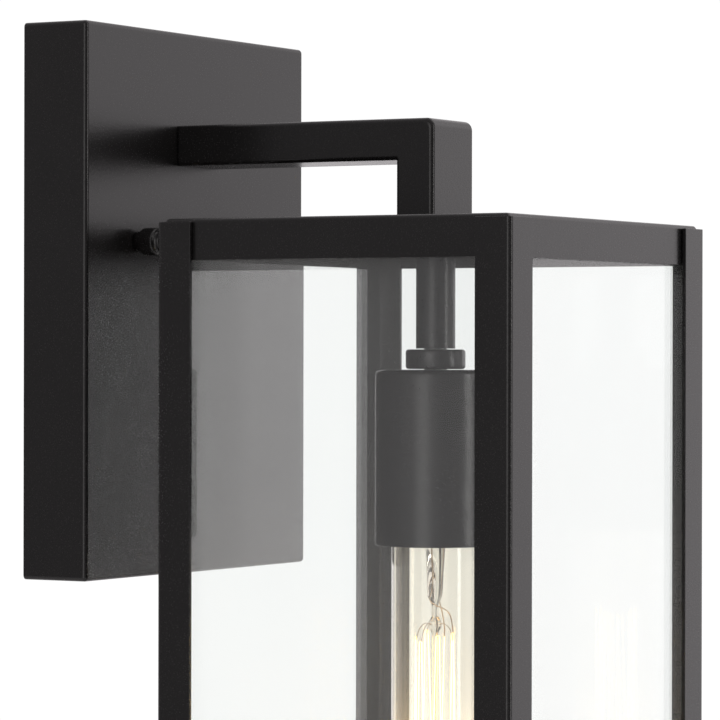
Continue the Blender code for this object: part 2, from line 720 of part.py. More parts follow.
def make_holder():
    cavity = CAP_CREST + SLIDE + THREAD_DEPTH + SHELL_WALL + GAP
    step = HOLDER_TOP - HOLDER_TOP_WALL / 2
    profile = [
        (ROD_RADIUS + GAP, HOLDER_TOP),
        (HOLDER_RADIUS, HOLDER_TOP),
        (HOLDER_RADIUS, HOLDER_BOTTOM),
        (cavity, HOLDER_BOTTOM),
        (cavity, HOLDER_CEILING),
        (ROD_BORE, HOLDER_CEILING),
        (ROD_BORE, step),
        (ROD_RADIUS + GAP, step),
    ]
    turned("socket_body", profile, PORCELAIN, AXIS, ring=True)

    crest = CAP_CREST + SLIDE + THREAD_DEPTH
    root = CAP_CREST + SLIDE
    top = HOLDER_CEILING - 3 * GAP
    turns = int(SHELL_LENGTH // THREAD_PITCH)
    inside = thread(crest, root, top, turns)
    outside = [(r + SHELL_WALL, z) for r, z in inside]
    turned("screw_shell", outside + inside[::-1], BRASS, AXIS, steps=SMALL_STEPS, ring=True)

    profile = [
        (0.0, CONTACT_TOP),
        (CONTACT_RADIUS, CONTACT_TOP),
        (CONTACT_RADIUS, CONTACT_TOP - CONTACT_THICK),
        (0.0, CONTACT_TOP - CONTACT_THICK),
    ]
    turned("center_contact", profile, BRASS, AXIS, steps=SMALL_STEPS)


# Bulb


def make_bulb_cap():
    profile = [
        (0.0, BULB_TOP),
        (BULB_CONTACT_RADIUS * 0.6, BULB_TOP),
        (BULB_CONTACT_RADIUS, BULB_TOP - BULB_CONTACT_THICK),
        (0.0, BULB_TOP - BULB_CONTACT_THICK),
    ]
    turned("bulb_contact", profile, NICKEL, AXIS, steps=SMALL_STEPS)

    root = CAP_CREST - THREAD_DEPTH
    profile = [
        (0.0, INSULATOR_TOP),
        (BULB_CONTACT_RADIUS + GAP, INSULATOR_TOP),
        (root - BULB_CAP_WALL - GAP, INSULATOR_TOP - INSULATOR_HEIGHT),
        (0.0, INSULATOR_TOP - INSULATOR_HEIGHT),
    ]
    turned("bulb_insulator", profile, BLACK_GLASS, AXIS, steps=SMALL_STEPS)

    outside = thread(CAP_CREST, root, BULB_CAP_TOP, THREAD_TURNS)
    outside += [(CAP_CREST, BULB_CAP_BOTTOM + BULB_CAP_SKIRT / 2), (CAP_CREST, BULB_CAP_BOTTOM)]
    inside = [(r - BULB_CAP_WALL, z) for r, z in outside]
    turned("bulb_cap", outside + inside[::-1], BRASS, AXIS, steps=SMALL_STEPS, ring=True)


def make_bulb_glass():
    """A clear tube with a short neck and a round end, open at the neck."""
    neck_top = BULB_CAP_BOTTOM + NECK_OVERLAP
    taper_top = BULB_CAP_BOTTOM - GAP
    taper_end = taper_top - NECK_TAPER
    steps = 4
    outer = [(NECK_RADIUS, neck_top), (NECK_RADIUS, taper_top)]
    for step in range(1, steps + 1):
        share = (1 - math.cos(math.pi * step / steps)) / 2
        radius = NECK_RADIUS + (BULB_RADIUS - NECK_RADIUS) * share
        outer.append((radius, taper_top + (taper_end - taper_top) * step / steps))
    dome = arc((0.0, BULB_BOTTOM + BULB_RADIUS), BULB_RADIUS, 0, -90, 6)
    inner_dome = arc((0.0, BULB_BOTTOM + BULB_RADIUS), BULB_RADIUS - BULB_WALL, -90, 0, 6)
    inner = [(r - BULB_WALL, z) for r, z in outer[::-1]]
    profile = inner_dome + inner + outer + dome
    profile[0] = (0.0, profile[0][1])
    profile[-1] = (0.0, profile[-1][1])
    turned("bulb_glass", profile, CLEAR_GLASS, AXIS)


def make_bulb_mount():
    """The glass mount: a flared tube, a pressed end and a rod with the two hubs' seats."""
    flare_top = BULB_CAP_BOTTOM + NECK_OVERLAP
    tube_top = BULB_CAP_BOTTOM - NECK_TAPER
    press_end = BULB_CAP_BOTTOM - MOUNT_PRESS_END
    profile = [
        (0.0, flare_top),
        (MOUNT_FLARE_RADIUS, flare_top),
        (MOUNT_FLARE_RADIUS * 0.6, (flare_top + tube_top) / 2),
        (MOUNT_RADIUS, tube_top),
        (MOUNT_RADIUS, press_end + MOUNT_RADIUS / 2),
        (MOUNT_ROD_RADIUS, press_end),
        (MOUNT_ROD_RADIUS, CAGE_FLOOR - HUB_HEIGHT),
        (0.0, CAGE_FLOOR - HUB_HEIGHT - MOUNT_ROD_RADIUS),
    ]
    turned("bulb_mount", profile, CLEAR_GLASS, AXIS, steps=SMALL_STEPS)


def cage_point(step, radius=CAGE_RADIUS):
    """A hairpin's end: the even steps are at the top of the cage and the odd ones at its foot."""
    z = CAGE_FLOOR if step % 2 else CAGE_CEILING
    angle = step * CAGE_STEP
    return Vector((radius * math.cos(angle), LANTERN_MIDDLE + radius * math.sin(angle), z))


def make_filament():
    """One wire up and down between the two supports, with a small bend at each hook."""
    points = [cage_point(0)]
    for step in range(1, CAGE_LEGS):
        tip = cage_point(step)
        across = (cage_point(step + 1) - cage_point(step - 1)).normalized() * FILAMENT_BEND
        inward = Vector((0.0, 0.0, FILAMENT_BEND if step % 2 else -FILAMENT_BEND))
        for u, v in arc((0.0, 0.0), 1.0, 180, 0, 4):
            points.append(tip + inward * (1 - v) + across * u)
    points.append(cage_point(CAGE_LEGS))
    wire("filament", points, FILAMENT_RADIUS, TUNGSTEN)


def make_support(name, z, steps):
    """A hub on the mount's rod with one spoke for each hairpin that it holds."""
    bore = MOUNT_ROD_RADIUS + GAP
    top = z + HUB_HEIGHT / 2
    bottom = z - HUB_HEIGHT / 2
    hub = meshed(sleeve(name, HUB_RADIUS, bore, top, bottom, NICKEL, AXIS))
    tip = CAGE_RADIUS - FILAMENT_RADIUS - SPOKE_RADIUS - GAP
    for step in steps:
        angle = step * CAGE_STEP
        start = (HUB_RADIUS + bore) / 2
        reach = tip - start
        middle = start + reach / 2
        mesh = box_mesh(f"{name}_spoke_{step}", (reach, 2 * SPOKE_RADIUS, 2 * SPOKE_RADIUS))
        place = (middle * math.cos(angle), LANTERN_MIDDLE + middle * math.sin(angle), z)
        union(hub, cutter(f"{name}_spoke_{step}", mesh, place, (0.0, 0.0, angle)))


def make_leads():
    """The two wires from the press to the ends of the filament."""
    press_end = BULB_CAP_BOTTOM - MOUNT_PRESS_END
    inner = CAGE_RADIUS - FILAMENT_RADIUS - LEAD_RADIUS - GAP
    for label, step in (("a", 0), ("b", CAGE_LEGS)):
        start = cage_point(step, LEAD_SPREAD)
        start.z = press_end - GAP
        knee = start.copy()
        knee.z -= 2 * MM
        end = cage_point(step, inner)
        wire("bulb_lead_" + label, [start, knee, end], LEAD_RADIUS, NICKEL)


make_backplate()
make_mounting_bar()
for name, x_place in (("left", -STUD_SPACING / 2), ("right", STUD_SPACING / 2)):
    make_stud(name, x_place)
    make_cap_nut(name, x_place)
make_ground_screw()
make_arm()
make_end_plates()
make_arm_rod()
make_roof()
make_posts()
make_bottom_rails()
make_glass()
make_clips()
make_stem()
make_cup()
make_holder()
make_bulb_cap()
make_bulb_glass()
make_bulb_mount()
make_filament()
make_support("upper_support", CAGE_CEILING, range(2, CAGE_LEGS, 2))
make_support("lower_support", CAGE_FLOOR, range(1, CAGE_LEGS, 2))
make_leads()
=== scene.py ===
"""The finish and fine shapes of an outdoor wall lantern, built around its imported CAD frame.

Everything is in metres: +X along the wall, +Y into the wall and +Z up.
"""

import math
import random

import bmesh
import bpy
from mathutils import Matrix, Vector


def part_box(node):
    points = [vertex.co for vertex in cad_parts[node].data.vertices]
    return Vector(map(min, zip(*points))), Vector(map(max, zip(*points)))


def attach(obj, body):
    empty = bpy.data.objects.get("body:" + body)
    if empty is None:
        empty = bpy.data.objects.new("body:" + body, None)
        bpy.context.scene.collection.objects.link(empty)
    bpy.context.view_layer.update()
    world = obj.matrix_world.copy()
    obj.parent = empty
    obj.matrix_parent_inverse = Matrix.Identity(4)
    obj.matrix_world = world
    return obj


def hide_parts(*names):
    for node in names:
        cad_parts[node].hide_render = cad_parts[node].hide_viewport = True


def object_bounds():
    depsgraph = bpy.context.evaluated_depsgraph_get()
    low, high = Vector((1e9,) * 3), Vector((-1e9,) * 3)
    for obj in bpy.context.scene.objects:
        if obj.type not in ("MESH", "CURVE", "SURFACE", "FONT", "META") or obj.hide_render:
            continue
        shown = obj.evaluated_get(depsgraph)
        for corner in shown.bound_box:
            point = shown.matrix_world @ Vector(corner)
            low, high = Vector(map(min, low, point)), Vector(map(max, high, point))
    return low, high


MM = 0.001

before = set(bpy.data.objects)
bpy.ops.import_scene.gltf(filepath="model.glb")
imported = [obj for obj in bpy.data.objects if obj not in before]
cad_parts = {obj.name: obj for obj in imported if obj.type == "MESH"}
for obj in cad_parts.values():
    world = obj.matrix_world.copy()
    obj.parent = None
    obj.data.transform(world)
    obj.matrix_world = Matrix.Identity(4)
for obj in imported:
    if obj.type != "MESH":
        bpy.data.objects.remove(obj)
CAD_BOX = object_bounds()
BODY = "lantern"

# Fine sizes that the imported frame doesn't give
SHARP_EDGE = 0.22 * MM  # the break on every sheared or sawn edge
POST_SHEET = 1.5 * MM
POST_BEND = 1.7 * MM
RAIL_SHEET = 1.0 * MM
RAIL_BEND = 1.5 * MM
PLATE_SHEET = 1.2 * MM
PLATE_BEND = 1.6 * MM
ARM_WALL = 1.2 * MM
ARM_CORNER = 1.7 * MM
ARM_TURN = (0.5 * MM, 3.2 * MM)  # radii of the bend at its inside and its outside
CLEARANCE = 0.3 * MM
STUD_RADIUS = 2.0 * MM
ROD_RADIUS = 4.0 * MM
THREAD_PITCH = 3.629 * MM
DRILL_LENGTH = 8 * MM
THREAD_DEPTH = 0.8 * MM
CLIP_SHEET = 0.9 * MM
CLIP_BEND = 1.2 * MM
CLIP_EDGE = 0.15 * MM
PANE_EDGE = 0.3 * MM
BEND_STEPS = 8
ROUND_STEPS = 96
SMALL_STEPS = 48


# Shader bench


class Value:
    """A number that varies over a surface; arithmetic on it adds Math nodes."""

    def __init__(self, finish, socket):
        self.finish = finish
        self.socket = socket

    def maths(self, operation, first, second):
        return self.finish.node(
            "ShaderNodeMath", {"operation": operation}, {0: first, 1: second}
        )

    def __add__(self, other):
        return self.maths("ADD", self, other)

    def __sub__(self, other):
        return self.maths("SUBTRACT", self, other)

    def __rsub__(self, other):
        return self.maths("SUBTRACT", other, self)

    def __mul__(self, other):
        return self.maths("MULTIPLY", self, other)

    def __gt__(self, other):
        return self.maths("GREATER_THAN", self, other)

    __radd__ = __add__
    __rmul__ = __mul__


class Finish:
    """A procedural material, or a world, in the making."""

    def __init__(self, name, owner=None):
        self.made = owner or bpy.data.materials.new(name)
        self.made.use_nodes = True
        self.tree = self.made.node_tree
        self.tree.nodes.clear()

    def node(self, kind, settings=None, inputs=None, output=0):
        made = self.tree.nodes.new(kind)
        for setting, value in (settings or {}).items():
            setattr(made, setting, value)
        for place, value in (inputs or {}).items():
            self.feed(made.inputs[place], value)
        return Value(self, made.outputs[output]) if made.outputs else None

    def feed(self, socket, value):
        if isinstance(value, Value):
            self.tree.links.new(value.socket, socket)
        elif value is not None:
            socket.default_value = value

    def mix(self, first, second, share):
        settings = {"data_type": "RGBA"}
        return self.node("ShaderNodeMix", settings, {0: share, 6: first, 7: second}, 2)

    def place(self):
        return self.node("ShaderNodeTexCoord", output="Object")

    def stretched(self, place, scale):
        return self.node("ShaderNodeMapping", {}, {"Vector": place, "Scale": scale})

    def noise(self, place, size, detail=2.0, roughness=0.5):
        """Cloudy noise from 0 to 1 whose lumps are about size across, in metres."""
        inputs = {"Vector": place, "Scale": 1 / size, "Detail": detail, "Roughness": roughness}
        return self.node("ShaderNodeTexNoise", {}, inputs)

    def spread(self, value, low, high, out_low=0.0, out_high=1.0):
        inputs = {0: value, 1: low, 2: high, 3: out_low, 4: out_high}
        return self.node("ShaderNodeMapRange", {"interpolation_type": "SMOOTHSTEP"}, inputs)

    def bump(self, height, depth):
        return self.node("ShaderNodeBump", {}, {"Height": height, "Distance": depth}, "Normal")

    def surface(self, inputs):
        shader = self.node("ShaderNodeBsdfPrincipled", {}, inputs)
        self.node("ShaderNodeOutputMaterial", {}, {"Surface": shader})
        return self.made


def colour(red, green, blue):
    return (red, green, blue, 1.0)


# Finishes


def powder_coat():
    """Black polyester powder: satin, with a fine orange peel and a little dust on top."""
    coat = Finish("black_powder_coat")
    place = coat.place()
    cloud = coat.noise(place, 22 * MM, 3.0)
    fleck = coat.noise(place, 0.5 * MM, 1.0)
    peel = coat.noise(place, 0.9 * MM, 2.0)
    black = coat.mix(colour(0.0034, 0.0030, 0.0031), colour(0.0056, 0.0050, 0.0050), cloud)
    grain = coat.spread(fleck, 0.55, 0.75)
    tone = coat.mix(black, colour(0.013, 0.012, 0.012), grain)
    facing = coat.node("ShaderNodeNewGeometry", output="Normal")
    upward = coat.node("ShaderNodeSeparateXYZ", {}, {0: facing}, 2)
    patches = coat.spread(coat.noise(place, 35 * MM, 5.0, 0.6), 0.3, 0.8)
    dust = coat.spread(upward, 0.6, 1.0) * patches
    tone = coat.mix(tone, colour(0.024, 0.022, 0.021), dust * 0.3)
    roughness = 0.22 + cloud * 0.05 + grain * 0.04 + dust * 0.06
    return coat.surface(
        {
            "Base Color": tone,
            "Roughness": roughness,
            "Specular IOR Level": 0.46,
            "Normal": coat.bump(peel + fleck * 0.5, 0.03 * MM),
        }
    )


def metal(name, base, dark, roughness, grain=(1.0, 1.0, 1.0), grain_size=0.6 * MM):
    """Bare or plated metal: stained in clouds, with fine marks along the way it was worked."""
    plate = Finish(name)
    place = plate.place()
    cloud = plate.noise(place, 7 * MM, 4.0)
    marks = plate.noise(plate.stretched(place, grain), grain_size, 3.0)
    tone = plate.mix(colour(*dark), colour(*base), plate.spread(cloud, 0.35, 0.6))
    return plate.surface(
        {
            "Base Color": tone,
            "Metallic": 1.0,
            "Roughness": roughness + marks * 0.15 + cloud * 0.05,
            "Normal": plate.bump(marks, 0.015 * MM),
        }
    )


def clear_glass(name, tint, pale, cloud_size, clear=1.0):
    """Smooth glass whose tint drifts a little, as drawn glass does; what isn't clear is haze."""
    glass = Finish(name)
    cloud = glass.noise(glass.place(), cloud_size, 2.0)
    return glass.surface(
        {
            "Base Color": glass.mix(colour(*tint), colour(*pale), cloud),
            "Transmission Weight": clear,
            "Roughness": 0.0,
            "IOR": 1.5,
        }
    )


def glazed_ceramic():
    ceramic = Finish("glazed_ceramic")
    place = ceramic.place()
    cloud = ceramic.noise(place, 9 * MM, 3.0)
    speck = ceramic.noise(place, 0.8 * MM, 1.0) > 0.72
    body = ceramic.mix(colour(0.80, 0.78, 0.72), colour(0.88, 0.87, 0.83), cloud)
    return ceramic.surface(
        {
            "Base Color": ceramic.mix(body, colour(0.55, 0.50, 0.44), speck * 0.5),
            "Roughness": 0.22 + cloud * 0.12,
            "Normal": ceramic.bump(cloud, 0.08 * MM),
        }
    )


def dark_glass():
    glass = Finish("black_cap_glass")
    cloud = glass.noise(glass.place(), 3 * MM, 3.0)
    return glass.surface(
        {
            "Base Color": glass.mix(colour(0.012, 0.012, 0.016), colour(0.03, 0.028, 0.04), cloud),
            "Roughness": 0.08 + cloud * 0.15,
            "Normal": glass.bump(cloud, 0.05 * MM),
        }
    )


def glowing_tungsten():
    """Hot wire, whitest along its middle and yellower where the hooks cool it."""
    wire = Finish("glowing_filament")
    height = wire.node("ShaderNodeSeparateXYZ", {}, {0: wire.place()}, 2)
    low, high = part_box("filament")
    from_top = wire.spread(height, high.z - 9 * MM, high.z, 1.0, 0.0)
    from_foot = wire.spread(height, low.z, low.z + 9 * MM)
    heat = from_top * from_foot
    flicker = wire.noise(wire.place(), 4 * MM, 2.0)
    return wire.surface(
        {
            "Base Color": wire.mix(colour(0.25, 0.2, 0.16), colour(0.4, 0.34, 0.28), flicker),
            "Roughness": 0.5 + flicker * 0.2,
            "Emission Color": wire.mix(
                colour(1.0, 0.46, 0.08), colour(1.0, 0.70, 0.24), heat * 0.8 + flicker * 0.2
            ),
            "Emission Strength": 6.0,
        }
    )


BLACK = powder_coat()
ZINC = metal("zinc_plate", (0.62, 0.62, 0.60), (0.42, 0.43, 0.44), 0.28)
BRASS = metal("socket_brass", (0.80, 0.62, 0.34), (0.55, 0.40, 0.20), 0.22, (1, 1, 6))
BULB_CAP = metal("nickelled_cap", (0.74, 0.71, 0.64), (0.52, 0.48, 0.40), 0.20, (1, 1, 6))
SOLDER = metal("solder", (0.62, 0.62, 0.60), (0.40, 0.40, 0.40), 0.35)
LEAD_WIRE = metal(
    "lead_wire", (0.70, 0.56, 0.42), (0.42, 0.30, 0.20), 0.25, (1, 1, 0.3), 0.3 * MM
)
GREEN = metal("green_screw", (0.10, 0.42, 0.18), (0.04, 0.24, 0.09), 0.25)
PANE = clear_glass("pane_glass", (0.968, 0.985, 0.978), (0.982, 0.992, 0.985), 120 * MM, 0.985)
BULB_GLASS = clear_glass(
    "bulb_envelope_glass", (0.985, 0.95, 0.88), (0.995, 0.97, 0.905), 30 * MM, 0.98
)
MOUNT_GLASS = clear_glass("bulb_mount_glass", (0.92, 0.91, 0.88), (0.97, 0.96, 0.94), 5 * MM)
CERAMIC = glazed_ceramic()
CAP_GLASS = dark_glass()
GLOW = glowing_tungsten()


# Outlines and meshes


def arc(centre, radius, start, end, steps=BEND_STEPS):
    turn = [math.radians(start + (end - start) * step / steps) for step in range(steps + 1)]
    return [(centre[0] + radius * math.cos(a), centre[1] + radius * math.sin(a)) for a in turn]


def rounded_rectangle(half_width, half_height, radius):
    across = half_width - radius
    up = half_height - radius
    corners = ((across, up, 0), (-across, up, 90), (-across, -up, 180), (across, -up, 270))
    points = []
    for x, y, start in corners:
        points += arc((x, y), radius, start, start + 90)
    return points


def angle_section(leg_u, leg_v, sheet, bend):
    """An L with its outer corner at the origin and its legs along u and v."""
    inner = bend - sheet
    points = [(leg_u, 0.0), (leg_u, sheet)]
    points += arc((bend, bend), inner, 270, 180)
    points += [(sheet, leg_v), (0.0, leg_v)]
    points += arc((bend, bend), bend, 180, 270)
    return points


def loft(rings, closed_ends=True, looped=False):
    """A mesh through rings of points, each with as many points as the first."""
    work = bmesh.new()
    made = [[work.verts.new(point) for point in ring] for ring in rings]
    pairs = list(zip(made, made[1:])) + ([(made[-1], made[0])] if looped else [])
    for ring, following in pairs:
        for near, far in zip(range(len(ring)), [*range(1, len(ring)), 0]):
            work.faces.new((ring[near], ring[far], following[far], following[near]))
    if closed_ends and not looped:
        work.faces.new(made[0])
        work.faces.new(made[-1])
    return work


def circle(radius, z, middle, steps=ROUND_STEPS):
    turn = [2 * math.pi * step / steps for step in range(steps)]
    return [(middle.x + radius * math.cos(a), middle.y + radius * math.sin(a), z) for a in turn]


def turned(profile, middle, steps=ROUND_STEPS, looped=True):
    """A profile of (radius, height) turned about the upright line through middle."""
    return loft([circle(radius, z, middle, steps) for radius, z in profile], True, looped)


def capped_turn(profile, middle, steps=ROUND_STEPS):
    """As turned, for a profile that starts and ends on the axis."""
    work = turned(profile, middle, steps, looped=False)
    bmesh.ops.remove_doubles(work, verts=work.verts, dist=0.001 * MM)
    return work


def as_mesh(name, work):
    bmesh.ops.recalc_face_normals(work, faces=work.faces)
    mesh = bpy.data.meshes.new(name)
    work.to_mesh(mesh)
    work.free()
    return mesh


def break_edges(mesh, width, above=40.0):
    """Rounds every edge that turns more than the given angle."""
    work = bmesh.new()
    work.from_mesh(mesh)
    sharp = [e for e in work.edges if e.is_manifold and e.calc_face_angle(0) > math.radians(above)]
    bmesh.ops.bevel(
        work, geom=sharp, offset=width, segments=3, profile=0.5, affect="EDGES", clamp_overlap=True
    )
    work.to_mesh(mesh)
    work.free()


def piece(name, mesh, finish, body=BODY, nodes=(), smooth=35.0):
    """The named piece: shaded, finished, riding on its body and standing for its CAD nodes."""
    made = bpy.data.objects.new(name, mesh)
    bpy.context.scene.collection.objects.link(made)
    mesh.materials.clear()
    mesh.materials.append(finish)
    mesh.shade_smooth()
    mesh.set_sharp_from_angle(angle=math.radians(smooth))
    weighted = made.modifiers.new("even shading", "WEIGHTED_NORMAL")
    weighted.keep_sharp = True
    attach(made, body)
    if nodes:
        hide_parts(*nodes)
    return made


def black_piece(name, work, nodes, edge=SHARP_EDGE, body=BODY):
    mesh = as_mesh(name, work)
    if edge:
        break_edges(mesh, edge)
    return piece(name, mesh, BLACK, body, nodes)


def section_bar(outline, place, u, v, start, end):
    """An outline in (u, v), swept straight from start to end along the third axis."""
    along = Vector(u).cross(Vector(v))
    rings = []
    for distance in (start, end):
        base = Vector(place) + along * distance
        rings.append([base + Vector(u) * a + Vector(v) * b for a, b in outline])
    return loft(rings)


def sheet_pan(name, low, high, open_side, sheet, bend, holes=()):
    """A folded sheet pan between two corners, open on open_side and drilled at holes."""
    work = bmesh.new()
    bmesh.ops.create_cube(work, size=1.0)
    bmesh.ops.scale(work, vec=high - low, verts=work.verts)
    bmesh.ops.translate(work, vec=(low + high) / 2, verts=work.verts)
    gone = [face for face in work.faces if face.normal.dot(Vector(open_side)) > 0.9]
    bmesh.ops.delete(work, geom=gone, context="FACES_ONLY")
    pan = bpy.data.objects.new(name, as_mesh(name, work))
    bpy.context.scene.collection.objects.link(pan)
    fold = pan.modifiers.new("folds", "BEVEL")
    fold.width = bend
    fold.segments = BEND_STEPS
    fold.limit_method = "ANGLE"
    wall = pan.modifiers.new("sheet", "SOLIDIFY")
    wall.thickness = sheet
    wall.offset = -1.0
    wall.use_even_offset = True
    drills = [drill(pan, *hole) for hole in holes]
    mesh = evaluated(pan)
    for spare in (pan, *drills):
        bpy.data.objects.remove(spare)
    break_edges(mesh, SHARP_EDGE)
    return mesh


def drill(part, place, radius, length, axis):
    work = bmesh.new()
    turn = Vector(axis).to_track_quat("Z", "Y").to_matrix().to_4x4()
    bmesh.ops.create_cone(
        work,
        cap_ends=True,
        segments=SMALL_STEPS,
        radius1=radius,
        radius2=radius,
        depth=length,
        matrix=Matrix.Translation(place) @ turn,
    )
    bit = bpy.data.objects.new("drill", as_mesh("drill", work))
    bpy.context.scene.collection.objects.link(bit)
    hole = part.modifiers.new("hole", "BOOLEAN")
    hole.operation = "DIFFERENCE"
    hole.solver = "EXACT"
    hole.object = bit
    return bit


def evaluated(part):
    bpy.context.view_layer.update()
    graph = bpy.context.evaluated_depsgraph_get()
    return bpy.data.meshes.new_from_object(part.evaluated_get(graph))


def wire_piece(name, lines, radius, finish, body, nodes=(), sides=4):
    """Round wires along the given lines of points."""
    curve = bpy.data.curves.new(name, "CURVE")
    curve.dimensions = "3D"
    curve.bevel_depth = radius
    curve.bevel_resolution = sides
    curve.use_fill_caps = True
    for line in lines:
        spline = curve.splines.new("POLY")
        spline.points.add(len(line) - 1)
        for point, place in zip(spline.points, line):
            point.co = (*place, 1.0)
    run = bpy.data.objects.new(name + "_run", curve)
    bpy.context.scene.collection.objects.link(run)
    mesh = evaluated(run)
    bpy.data.objects.remove(run)
    return piece(name, mesh, finish, body, nodes, 60.0)


def smooth_line(points, steps=8):
    """A Catmull-Rom line through the points."""
    points = [Vector(point) for point in points]
    padded = [2 * points[0] - points[1], *points, 2 * points[-1] - points[-2]]
    line = []
    for a, b, c, d in zip(padded, padded[1:], padded[2:], padded[3:]):
        for step in range(steps):
            t = step / steps
            line.append(
                0.5 * (2 * b + (c - a) * t + (2 * a - 5 * b + 4 * c - d) * t**2)
                + 0.5 * (3 * b - a - 3 * c + d) * t**3
            )
    return line + [points[-1]]


# Backplate and what fastens it

PLATE_LOW, PLATE_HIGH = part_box("backplate")
ARM_LOW, ARM_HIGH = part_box("arm_tube")
ARM_MIDDLE = (ARM_LOW.z + ARM_HIGH.z) / 2


def make_backplate():
    holes = [((0.0, PLATE_LOW.y, ARM_MIDDLE), ROD_RADIUS + CLEARANCE, DRILL_LENGTH, (0, 1, 0))]
    for side in ("left", "right"):
        low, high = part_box("mounting_screw_" + side)
        middle = (low + high) / 2
        place = (middle.x, PLATE_LOW.y, middle.z)
        holes.append((place, STUD_RADIUS + CLEARANCE, DRILL_LENGTH, (0, 1, 0)))
    mesh = sheet_pan(
        "backplate_pan", PLATE_LOW, PLATE_HIGH, (0, 1, 0), PLATE_SHEET, PLATE_BEND, holes
    )
    piece("backplate_pan", mesh, BLACK, BODY, ["backplate"])


def make_cap_nut(side):
    """A blind nut with a straight knurl around its barrel and a small domed tip."""
    node = "cap_nut_" + side
    low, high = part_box(node)
    middle = (low + high) / 2
    back = high.y
    teeth = 33
    groove = (0.0, 0.35, 1.0, 0.35)  # how deep it is at each step across a tooth
    per_tooth = len(groove)
    steps = teeth * per_tooth

    def ring(radius, out, knurl=0.0):
        points = []
        for step in range(steps):
            angle = 2 * math.pi * step / steps
            dip = groove[step % per_tooth] * knurl
            reach = radius - dip
            points.append(
                (middle.x + reach * math.cos(angle), back - out, middle.z + reach * math.sin(angle))
            )
        return points

    neck, barrel, tip = 3.6 * MM, 4.85 * MM, 3.4 * MM
    tooth = 0.34 * MM
    worn = tooth * 0.4  # the knurl's depth where it runs out at both ends
    bore, bore_end = 2.4 * MM, 8.0 * MM
    rings = [ring(bore, bore_end), ring(bore, 0.3 * MM), ring(bore + 0.3 * MM, 0.0)]
    rings += [ring(neck - 0.2 * MM, 0.0), ring(neck, 0.2 * MM), ring(neck, 2.1 * MM)]
    rings += [ring(neck + 0.3 * MM, 2.4 * MM), ring(barrel - 0.6 * MM, 2.4 * MM)]
    rings += [ring(barrel - 0.25 * MM, 2.55 * MM, worn), ring(barrel, 2.95 * MM, tooth)]
    rings += [ring(barrel, 7.5 * MM, tooth), ring(barrel - 0.25 * MM, 8.0 * MM, worn)]
    rings += [ring(barrel - 0.7 * MM, 8.35 * MM), ring(tip + 0.25 * MM, 8.4 * MM)]
    rings += [ring(tip, 8.65 * MM), ring(tip, 9.7 * MM)]
    dome = 1.7 * MM
    top = back - low.y
    for u, v in arc((0.0, 0.0), 1.0, 0, 84, 7)[1:]:
        rings.append(ring(tip * u, top - dome + dome * v))
    work = loft(rings)
    mesh = as_mesh("knurled_nut_" + side, work)
    piece("knurled_nut_" + side, mesh, BLACK, node, [node], 50.0)


# Arm, roof, posts and rails


def make_arm():
    """One welded square tube: out from the wall, mitred, and down to a closed foot."""
    drop_low, drop_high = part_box("arm_drop")
    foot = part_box("drop_end_plate")[0].z
    middle = (drop_low.y + drop_high.y) / 2
    half_depth = (drop_high.y - drop_low.y) / 2
    half_height = (ARM_HIGH.z - ARM_LOW.z) / 2
    half_width = (ARM_HIGH.x - ARM_LOW.x) / 2

    def rings(inset, foot_level):
        corner = max(ARM_CORNER - inset, 0.3 * MM)
        high = rounded_rectangle(half_width - inset, half_height - inset, corner)
        deep = rounded_rectangle(half_width - inset, half_depth - inset, corner)
        run = [[(x, ARM_HIGH.y, ARM_MIDDLE + v) for x, v in high]]
        for along, across in arc((0.0, 0.0), 1.0, 90, 0, BEND_STEPS):
            turn = []
            for (x, v), (_, d) in zip(high, deep):
                share = (v / half_height + 1) / 2
                radius = ARM_TURN[0] + (ARM_TURN[1] - ARM_TURN[0]) * share
                back = middle - d + radius * (1 - along)
                turn.append((x, back, ARM_MIDDLE + v - radius * (1 - across)))
            run.append(turn)
        run.append([(x, middle - d, foot_level) for x, d in deep])
        return run

    outer = rings(0.0, foot)
    inner = rings(ARM_WALL, foot + 4 * MM)
    work = loft(inner[::-1] + outer)
    black_piece("arm", work, ["arm_tube", "arm_drop", "drop_end_plate"])


def make_roof():
    low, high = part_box("roof_pan")
    middle = (low + high) / 2
    holes = [((0.0, middle.y, high.z), ROD_RADIUS + CLEARANCE, DRILL_LENGTH, (0, 0, 1))]
    mesh = sheet_pan("roof", low, high, (0, 0, -1), RAIL_SHEET, RAIL_BEND, holes)
    piece("roof", mesh, BLACK, BODY, ["roof_pan"])


def make_posts():
    for end, into in (("front", 1), ("back", -1)):
        for label, side in (("left", -1), ("right", 1)):
            node = f"post_{end}_{label}"
            low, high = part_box(node)
            outline = angle_section(high.x - low.x, high.y - low.y, POST_SHEET, POST_BEND)
            corner = (
                low.x if side < 0 else high.x,
                low.y if into > 0 else high.y,
                0.0,
            )
            u = Vector((-side, 0, 0))
            v = Vector((0, into, 0))
            along = u.cross(v).z
            start, end_z = sorted((low.z * along, high.z * along))
            work = section_bar(outline, corner, u, v, start, end_z)
            black_piece("corner_" + node, work, [node])


def make_bottom_rails():
    for label, u, axis in (
        ("front", (0, 1, 0), 0),
        ("back", (0, -1, 0), 0),
        ("left", (1, 0, 0), 1),
        ("right", (-1, 0, 0), 1),
    ):
        node = "bottom_rail_" + label
        low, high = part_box(node)
        u = Vector(u)
        v = Vector((0, 0, 1))
        ledge = abs((high - low).dot(u))
        outline = angle_section(ledge, high.z - low.z, RAIL_SHEET, RAIL_BEND)
        corner = Vector((0, 0, low.z))
        other = 1 - axis
        corner[other] = low[other] if u[other] > 0 else high[other]
        along = u.cross(v)[axis]
        start, end = sorted((low[axis] * along, high[axis] * along))
        work = section_bar(outline, corner, u, v, start, end)
        black_piece("rail_bottom_" + label, work, [node])


